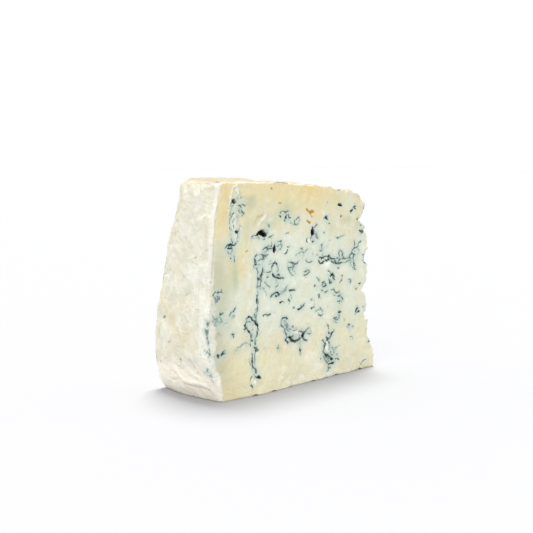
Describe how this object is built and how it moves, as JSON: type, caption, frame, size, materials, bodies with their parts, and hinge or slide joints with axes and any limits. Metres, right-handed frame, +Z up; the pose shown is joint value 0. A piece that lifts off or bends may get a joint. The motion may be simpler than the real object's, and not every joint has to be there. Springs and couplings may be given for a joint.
{
  "type": "blue cheese wedge",
  "caption": "Wedge of blue-veined cheese, cut from a tall round wheel, with a pale rind at its wide end and a ragged broken tip.",
  "frame": {"origin": "middle of the wedge's box, on the surface it stands on", "axes": "+Z up, along the wheel's axis; -X faces the rind and +X the tip; the show face is on the -Y side"},
  "size_m": [0.1648, 0.0589, 0.1333],
  "materials": {
    "blue_cheese": "soft matte cream paste with blue-green veins, and a dry off-white rind"
  },
  "bodies": {
    "root": {"cheese_wedge": "blue_cheese"}
  },
  "joints": []
}
